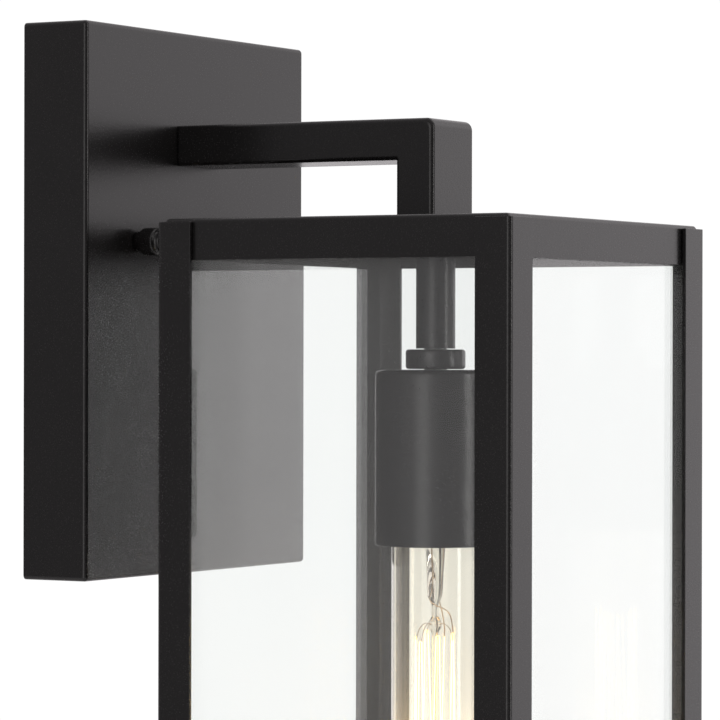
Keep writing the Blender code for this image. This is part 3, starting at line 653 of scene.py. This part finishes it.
def make_clips():
    for level, up in (("top", -1), ("bottom", 1)):
        for label, u, axis in (
            ("front", (0, 1, 0), 0),
            ("back", (0, -1, 0), 0),
            ("left", (1, 0, 0), 1),
            ("right", (-1, 0, 0), 1),
        ):
            node = f"clip_{level}_{label}"
            low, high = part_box(node)
            u = Vector(u)
            v = Vector((0, 0, up))
            foot = abs((high - low).dot(u))
            outline = angle_section(foot, high.z - low.z, CLIP_SHEET, CLIP_BEND)
            corner = Vector((0, 0, high.z if up < 0 else low.z))
            other = 1 - axis
            corner[other] = low[other] if u[other] > 0 else high[other]
            along = u.cross(v)[axis]
            start, end = sorted((low[axis] * along, high[axis] * along))
            work = section_bar(outline, corner, u, v, start, end)
            mesh = as_mesh("spring_" + node, work)
            break_edges(mesh, CLIP_EDGE)
            piece("spring_" + node, mesh, BLACK, BODY, [node])


def make_panes():
    for label in ("front", "back", "left", "right"):
        node = "glass_" + label
        low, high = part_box(node)
        work = bmesh.new()
        bmesh.ops.create_cube(work, size=1.0)
        bmesh.ops.scale(work, vec=high - low, verts=work.verts)
        bmesh.ops.translate(work, vec=(low + high) / 2, verts=work.verts)
        mesh = as_mesh("pane_" + label, work)
        break_edges(mesh, PANE_EDGE)
        pane = piece("pane_" + label, mesh, PANE, BODY, [node], 60.0)
        pane.visible_shadow = False


# Stem and lamp holder

STEM_LOW, STEM_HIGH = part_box("stem_tube")
AXIS = (STEM_LOW + STEM_HIGH) / 2


def make_stem():
    bore = ROD_RADIUS + CLEARANCE
    radius = (STEM_HIGH.x - STEM_LOW.x) / 2
    top, foot = STEM_HIGH.z, STEM_LOW.z
    profile = [(bore, top), (radius, top), (radius, foot), (bore, foot)]
    black_piece("stem", turned(profile, AXIS), ["stem_tube"])
    low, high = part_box("stem_collar")
    radius = (high.x - low.x) / 2
    edge = 1.1 * MM
    profile = [(bore, high.z)]
    profile += arc((radius - edge, high.z - edge), edge, 90, 0)
    profile += arc((radius - edge, low.z + edge), edge, 0, -90)
    profile += [(bore, low.z)]
    black_piece("collar", turned(profile, AXIS), ["stem_collar"], edge=0)


def make_cup():
    low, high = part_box("socket_cup")
    radius = (high.x - low.x) / 2
    wall = 1.2 * MM
    edge = 2.0 * MM
    lip = 0.35 * MM
    profile = [(ROD_RADIUS + CLEARANCE, high.z)]
    profile += arc((radius - edge, high.z - edge), edge, 90, 0)
    profile += arc((radius - lip, low.z + lip), lip, 0, -90, 4)
    profile += arc((radius - wall + lip, low.z + lip), lip, 270, 180, 4)
    profile += arc((radius - edge, high.z - edge), edge - wall, 0, 90)
    profile += [(ROD_RADIUS + CLEARANCE, high.z - wall)]
    black_piece("cup", turned(profile, AXIS), ["socket_cup"], edge=0)


def thread_reach(share):
    """How far a thread stands out, from 0 at its root to 1 at its crest, by its share of a turn."""
    return (1 - math.cos(2 * math.pi * share)) / 2


def threaded_sleeve(root, crest, top, bottom, wall, plain_below):
    """A rolled thread of one start in thin sheet, with a plain skirt below."""
    rows = int((top - bottom) / (THREAD_PITCH / 8))
    inside = []
    outside = []
    for row in range(rows + 1):
        z = top + (bottom - top) * row / rows
        from_skirt = max(0.0, (z - bottom - plain_below) / THREAD_PITCH)
        fade = min(1.0, (top - z) / THREAD_PITCH, from_skirt)
        ring = []
        ring_inside = []
        for step in range(SMALL_STEPS):
            angle = 2 * math.pi * step / SMALL_STEPS
            share = ((top - z) / THREAD_PITCH + step / SMALL_STEPS) % 1.0
            reach = root + (crest - root) * thread_reach(share) * fade
            if z < bottom + plain_below:
                reach = max(reach, crest - (z - bottom) / plain_below * (crest - root) * 0.5)
            for points, radius in ((ring, reach), (ring_inside, reach - wall)):
                x = AXIS.x + radius * math.cos(angle)
                points.append((x, AXIS.y + radius * math.sin(angle), z))
        outside.append(ring)
        inside.append(ring_inside)
    return loft(outside + inside[::-1], looped=True)


def make_holder():
    low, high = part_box("socket_body")
    radius = (high.x - low.x) / 2
    shell_low, shell_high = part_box("screw_shell")
    shell_radius = (shell_high.x - shell_low.x) / 2
    cavity = shell_radius + CLEARANCE
    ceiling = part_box("center_contact")[1].z + CLEARANCE
    edge = 0.8 * MM
    step = (high.z + ceiling) / 2
    profile = [(ROD_RADIUS + CLEARANCE, high.z)]
    profile += arc((radius - edge, high.z - edge), edge, 90, 0)
    profile += arc((radius - edge, low.z + edge), edge, 0, -90)
    profile += arc((cavity + edge, low.z + edge), edge, 270, 180)
    profile += [(cavity, ceiling), (2.7 * MM, ceiling), (2.7 * MM, step)]
    profile += [(ROD_RADIUS + CLEARANCE, step)]
    mesh = as_mesh("lamp_holder", turned(profile, AXIS))
    piece("lamp_holder", mesh, CERAMIC, BODY, ["socket_body"])
    wall = 0.45 * MM
    work = threaded_sleeve(
        shell_radius - THREAD_DEPTH, shell_radius, shell_high.z, shell_low.z, wall, 0.5 * MM
    )
    mesh = as_mesh("holder_shell", work)
    piece("holder_shell", mesh, BRASS, BODY, ["screw_shell"], 50.0)


# Bulb

BULB_LOW, BULB_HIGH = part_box("bulb_glass")
CAP_LOW, CAP_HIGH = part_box("bulb_cap")
COIL_LOW, COIL_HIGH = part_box("filament")
PRESS = CAP_LOW.z - 39.5 * MM  # where the glass mount is pinched over the leads


def make_bulb_cap():
    crest = (CAP_HIGH.x - CAP_LOW.x) / 2
    wall = 0.4 * MM
    skirt = 5.5 * MM
    work = threaded_sleeve(crest - THREAD_DEPTH, crest, CAP_HIGH.z, CAP_LOW.z, wall, skirt)
    mesh = as_mesh("cap_of_bulb", work)
    piece("cap_of_bulb", mesh, BULB_CAP, "bulb_shell", ["bulb_cap"], 50.0)


def make_bulb_glass():
    """A drawn tube with a blown shoulder and a round end, open at its neck inside the cap."""
    radius = (BULB_HIGH.x - BULB_LOW.x) / 2
    neck = 11.8 * MM
    wall = 0.8 * MM
    shoulder_top = CAP_LOW.z - 0.3 * MM
    shoulder = 13.0 * MM
    outer = [(neck, BULB_HIGH.z), (neck, shoulder_top)]
    steps = 16
    for step in range(1, steps + 1):
        share = (1 - math.cos(math.pi * step / steps)) / 2
        outer.append((neck + (radius - neck) * share, shoulder_top - shoulder * step / steps))
    length_steps = 20
    dome_top = BULB_LOW.z + radius
    tube_top = outer[-1][1]
    for step in range(1, length_steps):
        outer.append((radius, tube_top + (dome_top - tube_top) * step / length_steps))
    outer += arc((0.0, dome_top), radius, 0, -90, 20)
    inner = [(max(r - wall, 0.0), z) for r, z in outer if z > dome_top + 1e-9]
    inner += arc((0.0, dome_top), radius - wall, 0, -90, 20)
    outer[-1] = (0.0, BULB_LOW.z)
    inner[-1] = (0.0, BULB_LOW.z + wall)
    work = capped_turn(inner[::-1] + outer, AXIS)
    mesh = as_mesh("envelope", work)
    envelope = piece(
        "envelope", mesh, BULB_GLASS, "bulb_shell", ["bulb_glass"], 60.0
    )
    envelope.visible_shadow = False


def ellipse(half_x, half_y, z, steps=SMALL_STEPS):
    turn = [2 * math.pi * step / steps for step in range(steps)]
    return [(AXIS.x + half_x * math.cos(a), AXIS.y + half_y * math.sin(a), z) for a in turn]


# Half width and height above its hub of the glass button, in millimetres
BUTTON = ((1.1, 3.0), (1.5, 2.2), (2.2, 1.0), (2.3, 0.0), (2.2, -1.0), (1.5, -2.2))


def make_mount():
    """A flare, a tube pinched flat over the leads, and a rod with a button at each hub."""
    flare = CAP_LOW.z + 4.0 * MM
    tube = CAP_LOW.z - 10.0 * MM
    rod = 1.1 * MM
    rings = [ellipse(9.6 * MM, 9.6 * MM, flare)]
    for share in (0.15, 0.3, 0.5, 0.7, 0.85, 1.0):
        width = 4.0 * MM + 5.6 * MM * (1 - share) ** 2
        rings.append(ellipse(width, width, flare + (tube - flare) * share))
    for share in (0.2, 0.4, 0.6, 0.8, 0.9, 1.0):
        pinch = share**1.5
        wide = (4.0 + 1.3 * pinch) * MM
        thin = (4.0 - 2.6 * pinch) * MM
        rings.append(ellipse(wide, thin, tube + (PRESS + 5 * MM - tube) * share))
    rings.append(ellipse(4.6 * MM, 1.3 * MM, PRESS + 2.0 * MM))
    rings.append(ellipse(2.6 * MM, 1.2 * MM, PRESS + 0.6 * MM))
    rings.append(ellipse(rod, rod, PRESS - 1.0 * MM))
    for level in (COIL_HIGH.z, COIL_LOW.z):
        for width, lift in BUTTON:
            rings.append(ellipse(width * MM, width * MM, level + lift * MM))
        if level > COIL_LOW.z:
            rings.append(ellipse(rod, rod, level - 3.0 * MM))
    rings.append(ellipse(0.6 * MM, 0.6 * MM, COIL_LOW.z - 2.8 * MM))
    rings.sort(key=lambda ring: -ring[0][2])
    work = loft(rings)
    mesh = as_mesh("glass_mount", work)
    nodes = ["bulb_mount"]
    mount = piece("glass_mount", mesh, MOUNT_GLASS, "bulb_cage", nodes, 60.0)
    mount.visible_shadow = False


CAGE_RADIUS = 7.0 * MM
CAGE_LEGS = 12
CAGE_STEP = math.radians(27.0)
HOOK_BEND = 0.6 * MM
HOOK_DROP = 4.2 * MM  # of the upper hooks below the glass button
HOOK_SPREAD = 1.6 * MM  # how far the upper hooks stray from that height
FILAMENT_RADIUS = 0.18 * MM
LEG_BOW = 0.35 * MM  # at most, of a leg between its two hooks
LEG_PIECES = 10
HOOK_RADIUS = 0.14 * MM
LEAD_RADIUS = 0.22 * MM


def cage_point(step):
    """Where the wire turns over a hook; the upper hooks are bent to heights of their own."""
    angle = step * CAGE_STEP
    if step % 2:
        z = COIL_LOW.z
    else:
        z = COIL_HIGH.z - HOOK_DROP - HOOK_SPREAD * math.sin(2.3 * step)
    return Vector((CAGE_RADIUS * math.cos(angle), AXIS.y + CAGE_RADIUS * math.sin(angle), z))


def make_filament():
    """One hand-strung wire, up and down over the hooks, each leg bowed a little its own way."""
    draw = random.Random(7)
    line = [cage_point(0)]
    for step in range(1, CAGE_LEGS + 1):
        start, end = line[-1], cage_point(step)
        inward = Vector((0.0, 0.0, HOOK_BEND if step % 2 else -HOOK_BEND))
        across = Vector((0.0, 0.0, 0.0))
        if step < CAGE_LEGS:
            across = (cage_point(step + 1) - cage_point(step - 1)).normalized() * HOOK_BEND
        bow = Vector((draw.uniform(-1, 1), draw.uniform(-1, 1), 0.0)) * LEG_BOW
        leg_end = end + inward - across if step < CAGE_LEGS else end
        for part in range(1, LEG_PIECES):
            share = part / LEG_PIECES
            line.append(start.lerp(leg_end, share) + bow * math.sin(math.pi * share))
        if step < CAGE_LEGS:
            for u, v in arc((0.0, 0.0), 1.0, 180, 0, 8):
                line.append(end + inward * (1 - v) + across * u)
        else:
            line.append(end)
    nodes = ["filament"]
    wire_piece(
        "glowing_wire", [line], FILAMENT_RADIUS, GLOW, "bulb_cage", nodes, 2
    )


def make_hooks(name, z, steps, node):
    """Fine support wires from a glass button out to the hairpins, each ending in a hook."""
    lines = []
    for step in steps:
        angle = step * CAGE_STEP
        out = Vector((math.cos(angle), math.sin(angle), 0.0))
        base = Vector((0.0, AXIS.y, z))
        end = cage_point(step)
        up = -1 if step % 2 else 1
        points = [base + out * 1.6 * MM, base + out * 3.5 * MM + Vector((0, 0, up * 0.4 * MM))]
        points += [base + out * 5.6 * MM + Vector((0, 0, (end.z - z) * 0.35))]
        points += [end - out * 0.35 * MM + Vector((0, 0, -up * 0.45 * MM))]
        points += [end - out * 0.1 * MM + Vector((0, 0, -up * 0.62 * MM))]
        lines.append(smooth_line(points, 5))
    wire_piece(name, lines, HOOK_RADIUS, LEAD_WIRE, "bulb_cage", [node], 2)


def make_leads():
    for label, step in (("a", 0), ("b", CAGE_LEGS)):
        end = cage_point(step)
        angle = step * CAGE_STEP
        out = Vector((math.cos(angle), math.sin(angle), 0.0))
        side = 1 if label == "a" else -1
        base = Vector((0.0, AXIS.y, 0.0))
        points = [
            base + Vector((side * 2.6 * MM, 0, CAP_LOW.z + 2 * MM)),
            base + Vector((side * 2.4 * MM, 0, PRESS + 12 * MM)),
            base + Vector((side * 3.1 * MM, 0, PRESS + 5 * MM)),
            base + Vector((side * 3.2 * MM, 0, PRESS + 0.5 * MM)),
            base + out * 5.2 * MM + Vector((0, 0, PRESS - 3.5 * MM)),
            end + Vector((0, 0, 3.0 * MM)),
            end - Vector((0, 0, 0.6 * MM)),
        ]
        wire_piece(
            "lead_" + label,
            [smooth_line(points)],
            LEAD_RADIUS,
            LEAD_WIRE,
            "bulb_cage",
            ["bulb_lead_" + label],
            2,
        )


def finish_hardware():
    """The CAD nodes whose shapes stay: they take their finishes here."""
    steel = ["mounting_bar", "mounting_screw_left", "mounting_screw_right", "lock_nut_left"]
    steel += ["lock_nut_right", "arm_end_plate", "arm_rod", "arm_nut", "stem_rod", "socket_nut"]
    finishes = {node: ZINC for node in steel}
    finishes["ground_screw"] = GREEN
    finishes["center_contact"] = BRASS
    finishes["bulb_contact"] = SOLDER
    finishes["bulb_insulator"] = CAP_GLASS
    for node, finish in finishes.items():
        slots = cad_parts[node].data.materials
        slots.clear()
        slots.append(finish)


make_backplate()
make_cap_nut("left")
make_cap_nut("right")
make_arm()
make_roof()
make_posts()
make_bottom_rails()
make_clips()
make_panes()
make_stem()
make_cup()
make_holder()
make_bulb_cap()
make_bulb_glass()
make_mount()
make_filament()
make_hooks("upper_hooks", COIL_HIGH.z, range(2, CAGE_LEGS, 2), "upper_support")
make_hooks("lower_hooks", COIL_LOW.z, range(1, CAGE_LEGS, 2), "lower_support")
make_leads()
finish_hardware()


# Camera, floor and light


CAMERA_PLACE = (-1.15108, -0.74859, -0.03901)
CAMERA_AZIMUTH = math.radians(-60.38)
CAMERA_ELEVATION = math.radians(0.13)
CAMERA_ROLL = math.radians(0.11)
CAMERA_LENS = 185.29  # in millimetres, on a sensor 36 mm wide

LANTERN_HEART = (0.0, -0.1, -0.05)  # what the softboxes aim at


def make_camera():
    azimuth, elevation, roll = CAMERA_AZIMUTH, CAMERA_ELEVATION, CAMERA_ROLL
    back = Vector(
        (
            math.sin(azimuth) * math.cos(elevation),
            -math.cos(azimuth) * math.cos(elevation),
            math.sin(elevation),
        )
    )
    right = Vector((math.cos(azimuth), math.sin(azimuth), 0.0))
    up = back.cross(right)
    level_right = right * math.cos(roll) + up * math.sin(roll)
    level_up = up * math.cos(roll) - right * math.sin(roll)
    data = bpy.data.cameras.new("camera")
    data.lens = CAMERA_LENS
    data.sensor_width = 36.0
    camera = bpy.data.objects.new("camera", data)
    turn = Matrix((level_right, level_up, back)).transposed().to_4x4()
    camera.matrix_world = Matrix.Translation(CAMERA_PLACE) @ turn
    bpy.context.scene.collection.objects.link(camera)
    bpy.context.scene.camera = camera


def make_floor():
    work = bmesh.new()
    half = 1.5
    below = 0.35
    level = CAD_BOX[0][2] - below
    corners = [(-half, -half), (half, -half), (half, half), (-half, half)]
    work.faces.new([work.verts.new((x, y, level)) for x, y in corners])
    floor = bpy.data.objects.new("studio_floor", as_mesh("studio_floor", work))
    pale = Finish("pale_floor")
    cloud = pale.noise(pale.place(), 0.4, 2.0)
    floor.data.materials.append(
        pale.surface(
            {
                "Base Color": pale.mix(colour(0.86, 0.86, 0.86), colour(0.90, 0.90, 0.90), cloud),
                "Roughness": 0.7 + cloud * 0.1,
            }
        )
    )
    bpy.context.scene.collection.objects.link(floor)


def make_world():
    """White to the eye and through the glass; in reflections, a soft room darker on the left."""
    world = bpy.data.worlds.new("studio")
    bpy.context.scene.world = world
    room = Finish("studio", world)
    path = room.node("ShaderNodeLightPath").socket.node
    diffuse = Value(room, path.outputs["Diffuse Depth"])
    glossy = Value(room, path.outputs["Glossy Depth"])
    bounced = (diffuse + glossy) > 0.5
    direction = room.node("ShaderNodeTexCoord", output="Generated")
    rightward, wallward, upward = (
        room.node("ShaderNodeSeparateXYZ", {}, {0: direction}, axis) for axis in range(3)
    )
    to_key = rightward * 0.83 - wallward * 0.56
    to_backdrop = rightward * 0.87 + wallward * 0.49
    # The room: dim on the left and in front, with two soft lights on the right
    light = room.spread(rightward, -0.9, 0.6, 0.31, 0.70)
    light = light * room.spread(wallward, -0.95, -0.6, 0.3, 1.0)
    light = light + room.spread(to_key, 0.75, 0.97, 0.0, 0.40)
    light = light + room.spread(to_backdrop, 0.85, 0.99, 0.0, 0.4)
    light = light * room.spread(upward, -0.35, 0.35, 0.85, 1.15)
    white = 1.03  # a little over white, for what the panes take away
    strength = (1 - bounced) * white + bounced * light
    tint = room.mix(colour(1.0, 1.0, 1.0), colour(1.0, 0.955, 0.975), bounced)
    back = room.node("ShaderNodeBackground", {}, {"Color": tint, "Strength": strength})
    room.node("ShaderNodeOutputWorld", {}, {"Surface": back})


def make_bulb_glow():
    """The warm light of the filament on the inside of its glass."""
    data = bpy.data.lights.new("bulb_glow", "POINT")
    data.energy = 0.12
    data.color = (1.0, 0.72, 0.36)
    data.shadow_soft_size = 5 * MM
    glow = bpy.data.objects.new("bulb_glow", data)
    glow.location = (AXIS.x, AXIS.y, (COIL_LOW.z + COIL_HIGH.z) / 2)
    glow.visible_camera = False
    glow.visible_glossy = False
    glow.visible_transmission = False
    bpy.context.scene.collection.objects.link(glow)


def make_softbox(name, place, size, radiance, tint):
    data = bpy.data.lights.new(name, "AREA")
    data.shape = "RECTANGLE"
    data.size, data.size_y = size
    data.energy = radiance * math.pi * size[0] * size[1]
    data.color = tint
    lamp = bpy.data.objects.new(name, data)
    aim = (Vector(LANTERN_HEART) - Vector(place)).to_track_quat("-Z", "Y").to_matrix().to_4x4()
    lamp.matrix_world = Matrix.Translation(place) @ aim
    lamp.visible_camera = False
    bpy.context.scene.collection.objects.link(lamp)


make_camera()
make_floor()
make_world()
make_bulb_glow()
make_softbox("top_softbox", (0.9, -0.9, 1.6), (1.2, 1.2), 0.9, (1.0, 0.97, 0.95))
make_softbox("left_strip", (-1.55, -0.25, 0.0), (0.7, 1.6), 1.4, (1.0, 0.97, 0.96))
make_softbox("front_strip", (0.16, -1.9, 0.1), (0.32, 1.7), 4.2, (1.0, 0.97, 0.96))
bpy.context.scene.view_settings.view_transform = "Standard"
